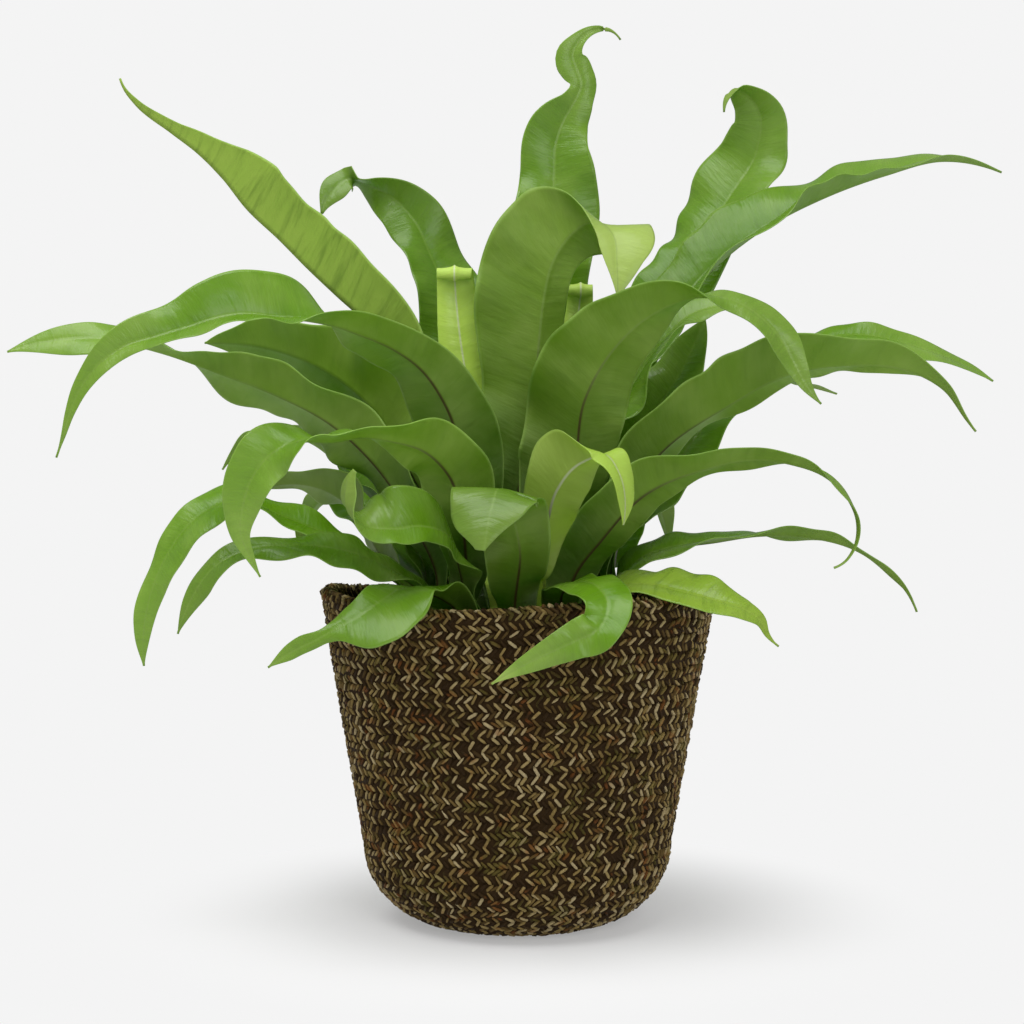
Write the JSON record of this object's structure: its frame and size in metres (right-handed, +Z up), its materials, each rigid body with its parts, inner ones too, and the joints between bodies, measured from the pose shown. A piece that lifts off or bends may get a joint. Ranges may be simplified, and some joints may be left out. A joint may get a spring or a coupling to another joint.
{
  "type": "birds nest fern in basket",
  "caption": "Birds nest fern with long, waved, arching fronds, growing in a dark nursery pot that stands inside a round coiled and sewn basket.",
  "frame": {"origin": "centre of the basket's flat base", "axes": "+Z up; -Y towards the viewer of the picture; +X to the right in the picture"},
  "size_m": [0.4764, 0.3225, 0.4229],
  "materials": {
    "frond": "leathery green leaf, satin",
    "young_frond": "pale young leaf, satin",
    "yellow_frond": "yellow-green leaf, satin",
    "basket_fibre": "matt braided plant fibre, dark brown and straw",
    "pot_plastic": "dark satin plastic",
    "potting_mix": "matt crumbly dark brown",
    "rootstock": "matt dark brown scales"
  },
  "bodies": {
    "root": {"basket": "basket_fibre", "nursery_pot": "pot_plastic", "potting_soil": "potting_mix", "crown": "rootstock", "crozier_left": "young_frond", "crozier_right": "young_frond", "centre_large": "frond", "back_centre_tall": "frond", "upper_left_long": "yellow_frond", "left_top_back": "frond", "left_arch": "frond", "left_behind": "frond", "left_mid_arch": "frond", "left_horizontal": "frond", "right_back_tall": "frond", "right_top_long": "frond", "right_front_arch": "frond", "right_behind": "frond", "right_small": "frond", "right_long_upper": "frond", "right_long_lower": "frond", "right_lower_arch": "frond", "front_foldover": "young_frond", "front_folded": "frond", "left_curled": "frond", "left_low_outer": "frond", "left_low_inner": "frond", "left_dark": "frond", "left_over_rim": "frond", "right_over_rim": "frond", "right_yellow": "yellow_frond", "right_lowest": "frond", "back_tall": "frond", "back_mid_1": "frond", "back_mid_2": "frond", "back_mid_3": "frond", "back_mid_4": "frond", "back_mid_5": "frond", "back_low_1": "frond", "back_low_2": "frond", "back_low_3": "frond", "back_low_4": "frond"}
  },
  "joints": []
}
